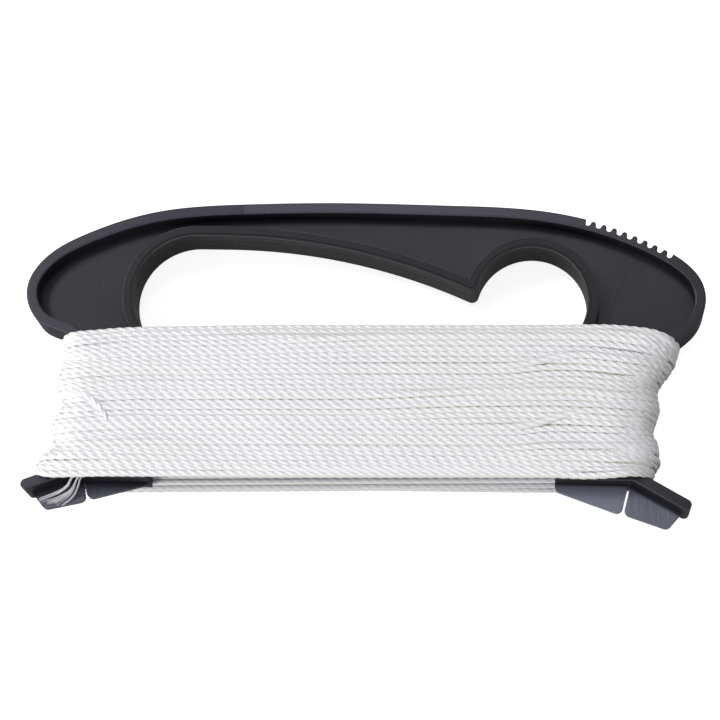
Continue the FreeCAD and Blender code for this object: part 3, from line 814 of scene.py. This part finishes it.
def dust_group():
    """Sparse pale specks. Share is how many of the cells hold one."""
    group, given, result = new_group(
        "dust_specks", {"Spacing": "Float", "Size": "Float", "Share": "Float"},
        {"Mask": "Float"})
    cells = node(group, "ShaderNodeTexVoronoi")
    link(group, own_place(group), cells.inputs["Vector"])
    link(group, given["Spacing"], cells.inputs["Scale"])
    near = maths(group, "LESS_THAN", cells.outputs["Distance"], given["Size"])
    apart = node(group, "ShaderNodeSeparateColor")
    link(group, cells.outputs["Color"], apart.inputs["Color"])
    chosen = maths(group, "LESS_THAN", apart.outputs[0], given["Share"])
    link(group, times(group, near, chosen), result["Mask"])
    return group


def line_mark_group():
    """Soft straight mark in the plane of the web, such as a knit line or a witness line."""
    group, given, result = new_group(
        "line_mark", {"From": "Vector", "To": "Vector", "Width": "Float"}, {"Mask": "Float"})
    flat = vector_maths(group, "MULTIPLY", own_place(group), (1.0, 1.0, 0.0))
    run = vector_maths(group, "SUBTRACT", given["To"], given["From"])
    off = vector_maths(group, "SUBTRACT", flat, given["From"])
    share = maths(group, "DIVIDE", vector_maths(group, "DOT_PRODUCT", off, run, "Value"),
                  vector_maths(group, "DOT_PRODUCT", run, run, "Value"), use_clamp=True)
    reach = node(group, "ShaderNodeVectorMath", operation="SCALE")
    link(group, run, reach.inputs[0])
    link(group, share, reach.inputs["Scale"])
    gap = vector_maths(group, "DISTANCE", off, reach.outputs[0], "Value")
    fade = maths(group, "DIVIDE", gap, given["Width"])
    link(group, inverse(group, ramp(group, fade, 0.0, 1.0)), result["Mask"])
    return group


# Limits of the share of a surface's normal that points up or down
WALL_TO_SLOPE = (0.15, 0.55)
WALL_TO_EDGE, EDGE_TO_FACE = (0.25, 0.55), (0.80, 0.97)


def facing_group():
    """Which way the surface lies: level with the faces, rounded edge or upright wall."""
    group, _, result = new_group("facing", {}, {"Edge": "Float", "Wall": "Float"})
    normal = node(group, "ShaderNodeNewGeometry").outputs["Normal"]
    level = maths(group, "ABSOLUTE", components(group, normal)[2])
    link(group, inverse(group, ramp(group, level, *WALL_TO_SLOPE)), result["Wall"])
    edge = times(group, ramp(group, level, *WALL_TO_EDGE),
                 inverse(group, ramp(group, level, *EDGE_TO_FACE)))
    link(group, edge, result["Edge"])
    return group


# ------------------------------------------------------------------ frame and liner

# Each side's tabs: where the bar bends down, how steeply, its lower edge and the haze's fade
RIGHT_TABS = {"bend": 0.078, "slope": 0.555, "edge": -0.0353, "fade": 0.0014}
LEFT_TABS = {"bend": 0.084, "slope": 0.383, "edge": -0.0378, "fade": 0.0030}
TAB_START = (0.0, 0.01)     # distance out over which haze is let in on a side
TAB_FRONT = (0.0135, 0.0125)            # z, from the bar's face to the tabs'
RIGHT_SLOT = (0.080, 0.074)             # x, from the outer right tab to the inner one
# Shares of the tabs' haze, which is partly worn surface and partly painted sheen
OUTER_WEAR_AND_SHEEN, INNER_WEAR_AND_SHEEN, LEFT_WEAR_AND_SHEEN = 0.75, 0.40, 0.46    # the inner one's is on top of the outer's
STREAK_SCALES, STREAK_ROUGH = (1500.0, 110.0, 1.0), 0.65
STREAK_GAIN, STREAK_LEAST = 1.2, 0.35
# Haze colour: partly worn surface, partly a painted bluish sheen of reflected light
HAZE_AND_SHEEN = (0.155, 0.162, 0.212)


def tab_haze_and_sheen(tree, out, y, bend, slope, edge, fade):
    """Share of haze on one side's tabs, partly a worn surface and partly a painted sheen of
    reflected light, clear of the bar that bends down at their outer end.
    """
    past = maths(tree, "MAXIMUM", maths(tree, "SUBTRACT", out, bend), 0.0)
    below = ramp(tree, maths(tree, "MULTIPLY_ADD", past, slope, y), edge, edge - fade)
    return times(tree, below, ramp(tree, out, *TAB_START))


def tab_wear_and_sheen(tree, place, tab):
    """Pale haze with upright streaks on the foot tabs, most of all on the right ones: partly a
    worn, scuffed surface, partly a painted sheen of reflected light.
    """
    x, y, z = components(tree, place)
    slot_share = maths(tree, "MULTIPLY_ADD", ramp(tree, x, *RIGHT_SLOT), INNER_WEAR_AND_SHEEN, OUTER_WEAR_AND_SHEEN)
    right = times(tree, tab_haze_and_sheen(tree, x, y, **RIGHT_TABS), slot_share)
    left = tab_haze_and_sheen(tree, times(tree, x, -1.0), y, **LEFT_TABS)
    streaks = streaky(tree, place, STREAK_SCALES, rough=STREAK_ROUGH)
    haze_share = times(tree, maths(tree, "MULTIPLY_ADD", left, LEFT_WEAR_AND_SHEEN, right),
                   maths(tree, "MULTIPLY_ADD", streaks, STREAK_GAIN, STREAK_LEAST))
    return mixed_colour(tree, times(tree, haze_share, ramp(tree, z, *TAB_FRONT)), tab, HAZE_AND_SHEEN)


# Colours of the black plastic, two where it is mottled, and where they change
# The web's colours are painted darker than the rim's, as shade in its recess
SHADED_WEB = ((0.0098, 0.0095, 0.0170), (0.0143, 0.0138, 0.0235))
RIM = ((0.0235, 0.0228, 0.0345), (0.0300, 0.0290, 0.0430))
# Painted highlight: the rim paler past the witness line, partly its finish, fading out to the
# right; and painted shade at the rim's right end
RIM_PAST_WITNESS_HIGHLIGHT = (0.0450, 0.0428, 0.0590)
RIM_RIGHT_END_SHADE = (0.0110, 0.0107, 0.0160)
WEB_TO_RIM = (0.0125, 0.0150)           # z
PAST_WITNESS, HIGHLIGHT_FADES = (-0.0369, -0.0366), (0.075, 0.0)      # x
SHADED_RIGHT_END = (0.070, 0.097)              # x
# Upright walls painted darker as shade; rounded edges painted paler as a highlight
WALL_SHADE = (0.0050, 0.0050, 0.0070)
EDGE_HIGHLIGHT, EDGE_HIGHLIGHT_SHARE = (0.075, 0.076, 0.092), 0.38
WALL_DULLER = 0.30          # roughness that the walls have more than the faces
WITNESS_LINE = {"From": (-0.0368, 0.0425, 0.0), "To": (-0.0368, 0.0475, 0.0), "Width": 0.00022}
KNIT_LINE = {"From": (0.0776, 0.0297, 0.0), "To": (0.0716, 0.0128, 0.0), "Width": 0.00045}
KNIT_SHARE = 0.6
MARK = (0.0030, 0.0030, 0.0040)
FRAME_DUST, FRAME_DUST_SHARE = (0.20, 0.20, 0.21), 0.5


def rim_tone_with_painted_light(tree, place, cloud):
    """Plastic on the rim's faces: a little paler past the witness line, partly its finish and
    partly a painted highlight; darker at the right end as painted shade; and painted darker in the
    web as shade.
    """
    x, _, z = components(tree, place)
    past = times(tree, ramp(tree, x, *PAST_WITNESS), ramp(tree, x, *HIGHLIGHT_FADES))
    rim = mixed_colour(tree, past, mixed_colour(tree, cloud, *RIM), RIM_PAST_WITNESS_HIGHLIGHT)
    rim = mixed_colour(tree, ramp(tree, x, *SHADED_RIGHT_END), rim, RIM_RIGHT_END_SHADE)
    return mixed_colour(tree, ramp(tree, z, *WEB_TO_RIM), mixed_colour(tree, cloud, *SHADED_WEB), rim)


def frame_plastic(skin, dust, mark, facing):
    """Black moulded plastic: satin grain on the faces, duller walls painted darker as shade, edges
    painted paler as a highlight, tabs hazed, partly worn and partly a painted sheen.
    """
    material, tree, surface = new_material("frame_black_plastic", Specular_IOR_Level=0.21)
    face = place_group(tree, skin, Grain_Scale=2600.0, Flow=0.35, Roughness=0.34)
    specks = place_group(tree, dust, Spacing=240.0, Size=0.05, Share=0.22)
    lie = place_group(tree, facing)
    witness = place_group(tree, mark, **WITNESS_LINE)
    knit = place_group(tree, mark, **KNIT_LINE)
    place = own_place(tree)
    tone = mixed_colour(tree, lie["Wall"], rim_tone_with_painted_light(tree, place, face["Cloud"]), WALL_SHADE)
    tone = mixed_colour(tree, times(tree, lie["Edge"], EDGE_HIGHLIGHT_SHARE), tone, EDGE_HIGHLIGHT)
    tone = tab_wear_and_sheen(tree, place, tone)
    marks = maths(tree, "MAXIMUM", witness["Mask"], times(tree, knit["Mask"], KNIT_SHARE))
    tone = mixed_colour(tree, marks, tone, MARK)
    tone = mixed_colour(tree, times(tree, specks["Mask"], FRAME_DUST_SHARE), tone, FRAME_DUST)
    link(tree, tone, surface["Base Color"])
    dull = maths(tree, "MULTIPLY_ADD", lie["Wall"], WALL_DULLER, face["Roughness"])
    link(tree, dull, surface["Roughness"])
    bumped(tree, surface, face["Height"], strength=0.35, distance=0.00008)
    return material


LINER = ((0.0070, 0.0068, 0.0090), (0.0105, 0.0102, 0.0130))
# The liner's rounded beads are painted paler as a highlight
LINER_BEAD_HIGHLIGHT, BEAD_HIGHLIGHT_SHARE = (0.110, 0.110, 0.125), 0.50
LINER_DUST, LINER_DUST_SHARE = (0.22, 0.22, 0.22), 0.6


def liner_rubber(skin, dust, facing):
    """Soft black grip liner, more matt than the frame, with a painted highlight on its rounded
    beads.
    """
    material, tree, surface = new_material("liner_soft_black", Specular_IOR_Level=0.17)
    face = place_group(tree, skin, Grain_Scale=3400.0, Flow=0.1, Roughness=0.42)
    specks = place_group(tree, dust, Spacing=300.0, Size=0.07, Share=0.35)
    lie = place_group(tree, facing)
    tone = mixed_colour(tree, face["Cloud"], *LINER)
    tone = mixed_colour(tree, times(tree, lie["Edge"], BEAD_HIGHLIGHT_SHARE), tone, LINER_BEAD_HIGHLIGHT)
    tone = mixed_colour(tree, times(tree, specks["Mask"], LINER_DUST_SHARE), tone, LINER_DUST)
    link(tree, tone, surface["Base Color"])
    link(tree, face["Roughness"], surface["Roughness"])
    bumped(tree, surface, face["Height"], strength=0.3, distance=0.00006)
    return material


# ------------------------------------------------------------------ the line's fibre

TWISTED_WHITE = ((0.80, 0.793, 0.815), (0.87, 0.865, 0.885))
# The loose end is painted darker than the twisted line, as shade
FRAYED_SHADED_WHITE = ((0.52, 0.515, 0.545), (0.66, 0.655, 0.685))
# Painted shade: grey in the strands' creases and between the loose filaments
PAINTED_SHADE_GREY = (0.50, 0.50, 0.53)
LINE_CLOUD_SCALE = 55.0
TWISTED_SCALES, FRAYED_SCALES = (26.0, 0.55, 1.0), (26.0, 0.8, 1.0)     # around and along
FILAMENT_ROUGH = 0.6
FLANK_TO_CREASE, CREASE_SHADE_SHARE = (0.40, 0.98), 0.4
FILAMENT_GAPS, GAP_SHADE_SHARE = (0.40, 0.65), 0.75   # between the loose filaments
FILAMENT_RELIEF = 0.25      # against the strands' own roundness
# Painted warm shade on the sides of the turns, between the rows
WARM_SHADE, WARM_SHADE_SHARE = (0.84, 0.80, 0.67), 0.65
BETWEEN_TURNS = (0.45, 0.90)            # share of the normal that points up or down the rows
WARM_SCALES, WARM_STREAKS = (14.0, 190.0, 30.0), (0.38, 0.62)


def strand_side(tree, uv):
    """How far aside a point lies on its strand: 0 on the crown, 1 in the crease."""
    around, length, _ = components(tree, uv)
    phase = times(tree, 3.0, maths(tree, "SUBTRACT", around, maths(tree, "DIVIDE", length, LAY)))
    fold = maths(tree, "FRACT", maths(tree, "ADD", phase, 0.5))
    return times(tree, maths(tree, "ABSOLUTE", maths(tree, "SUBTRACT", fold, 0.5)), 2.0)


def warm_shade_streaks(tree, coordinates):
    """Painted warm shade in long faint streaks on the sides of the turns, where they lie against
    each other.
    """
    sideways = maths(tree, "ABSOLUTE", components(tree, coordinates["Normal"])[1])
    streaks = ramp(tree, streaky(tree, coordinates["Object"], WARM_SCALES, 2.0), *WARM_STREAKS)
    return times(tree, times(tree, ramp(tree, sideways, *BETWEEN_TURNS), streaks), WARM_SHADE_SHARE)


def line_fibre(name, twisted):
    """White line of fine filaments: twisted strands with painted shade in their creases and
    painted warm shade between the turns, or the loose end, painted darker, with painted shade
    between its filaments.
    """
    material, tree, surface = new_material(name, Roughness=0.40, Specular_IOR_Level=0.5)
    uv = node(tree, "ShaderNodeUVMap", uv_map="along").outputs["UV"]
    coordinates = node(tree, "ShaderNodeTexCoord").outputs
    cloud = noise(tree, coordinates["Object"], LINE_CLOUD_SCALE)
    filament = streaky(tree, uv, TWISTED_SCALES if twisted else FRAYED_SCALES,
                       rough=FILAMENT_ROUGH)
    if twisted:
        aside = strand_side(tree, uv)
        height = maths(tree, "MULTIPLY_ADD", filament, FILAMENT_RELIEF,
                       times(tree, maths(tree, "POWER", aside, 2.0), -1.0))
        crease = times(tree, ramp(tree, aside, *FLANK_TO_CREASE), CREASE_SHADE_SHARE)
        tone = mixed_colour(tree, cloud, *TWISTED_WHITE)
        tone = mixed_colour(tree, crease, tone, PAINTED_SHADE_GREY)
        tone = mixed_colour(tree, warm_shade_streaks(tree, coordinates), tone, WARM_SHADE)
    else:
        height = filament
        crease = times(tree, ramp(tree, filament, *FILAMENT_GAPS), GAP_SHADE_SHARE)
        tone = mixed_colour(tree, cloud, *FRAYED_SHADED_WHITE)
        tone = mixed_colour(tree, crease, tone, PAINTED_SHADE_GREY)
    link(tree, tone, surface["Base Color"])
    bumped(tree, surface, height, strength=0.5, distance=0.00012)
    return material


def paint(thing, material):
    """Puts the material in every slot of a piece."""
    if not thing.material_slots:
        thing.data.materials.append(material)
    for slot in thing.material_slots:
        slot.material = material


# ------------------------------------------------------------------ floor and light

FLOOR_SIZE = 6.0
FLOOR_GREY = (0.60, 0.60, 0.60, 1.0)    # under the lamps, so that the shadow shows
FLOOR_SEEN, FLOOR_MIRRORED = 0.85, 0.12     # white added to it for the camera and in reflections
AMBIENT, AMBIENT_TINT = 0.38, (0.97, 0.98, 1.0, 1.0)

# Name, place, watts, size and how much it shows in the gloss
LAMPS = [
    ("key", (-0.94, 0.45, 1.38), 15.1, 0.45, 0.1),
    ("top", (0.02, 0.42, 1.0), 0.95, 0.2, 0.8),
    ("front", (-0.76, -0.82, 0.36), 8.3, 0.5, 0.1),
]


def make_floor():
    bpy.ops.mesh.primitive_plane_add(size=FLOOR_SIZE, location=(0.0, 0.0, 0.0))
    floor = bpy.context.object
    floor.name = "floor"
    material = bpy.data.materials.new("floor_pale")
    material.use_nodes = True
    tree = material.node_tree
    tree.nodes.clear()
    ray = node(tree, "ShaderNodeLightPath").outputs
    mirrored = maths(tree, "MAXIMUM", ray["Is Glossy Ray"], ray["Is Transmission Ray"])
    seen = maths(tree, "MULTIPLY_ADD", ray["Is Camera Ray"], FLOOR_SEEN,
                 times(tree, mirrored, FLOOR_MIRRORED))
    plain = node(tree, "ShaderNodeBsdfDiffuse")
    plain.inputs["Color"].default_value = FLOOR_GREY
    white = node(tree, "ShaderNodeEmission")
    both = node(tree, "ShaderNodeAddShader")
    out = node(tree, "ShaderNodeOutputMaterial")
    link(tree, seen, white.inputs["Strength"])
    link(tree, plain.outputs[0], both.inputs[0])
    link(tree, white.outputs[0], both.inputs[1])
    link(tree, both.outputs[0], out.inputs["Surface"])
    floor.data.materials.append(material)


def make_world():
    world = bpy.data.worlds.new("studio")
    bpy.context.scene.world = world
    world.use_nodes = True
    tree = world.node_tree
    tree.nodes.clear()
    ray = node(tree, "ShaderNodeLightPath").outputs
    seen = maths(tree, "MAXIMUM", ray["Is Camera Ray"], ray["Is Glossy Ray"])
    seen = maths(tree, "MAXIMUM", seen, ray["Is Transmission Ray"])
    dim = node(tree, "ShaderNodeBackground")
    dim.inputs["Color"].default_value = AMBIENT_TINT
    dim.inputs["Strength"].default_value = AMBIENT
    white = node(tree, "ShaderNodeBackground")
    white.inputs["Color"].default_value = (1.0, 1.0, 1.0, 1.0)
    white.inputs["Strength"].default_value = 1.0
    chosen = node(tree, "ShaderNodeMixShader")
    out = node(tree, "ShaderNodeOutputWorld")
    link(tree, seen, chosen.inputs[0])
    link(tree, dim.outputs[0], chosen.inputs[1])
    link(tree, white.outputs[0], chosen.inputs[2])
    link(tree, chosen.outputs[0], out.inputs["Surface"])


def make_lamp(name, place, energy, size, gloss):
    data = bpy.data.lights.new(name, "AREA")
    data.energy = energy
    data.size = size
    data.specular_factor = gloss
    lamp = bpy.data.objects.new(name, data)
    lamp.location = place
    lamp.rotation_euler = (-Vector(place)).to_track_quat("-Z", "Y").to_euler()
    bpy.context.scene.collection.objects.link(lamp)


# ------------------------------------------------------------------ the whole scene

make_camera()
line_pieces = make_line()

skin = moulded_skin_group()
dust = dust_group()
facing = facing_group()
paint(bpy.data.objects["winder_frame"], frame_plastic(skin, dust, line_mark_group(), facing))
paint(bpy.data.objects["finger_grip_liner"], liner_rubber(skin, dust, facing))
twisted_line = line_fibre("line_white_twisted", True)
frayed_line = line_fibre("line_white_frayed", False)
for piece in line_pieces:
    paint(piece, frayed_line if piece.name.startswith("tail") else twisted_line)

make_floor()
make_world()
for lamp in LAMPS:
    make_lamp(*lamp)

bpy.context.scene.view_settings.view_transform = "Standard"

bpy.context.view_layer.update()
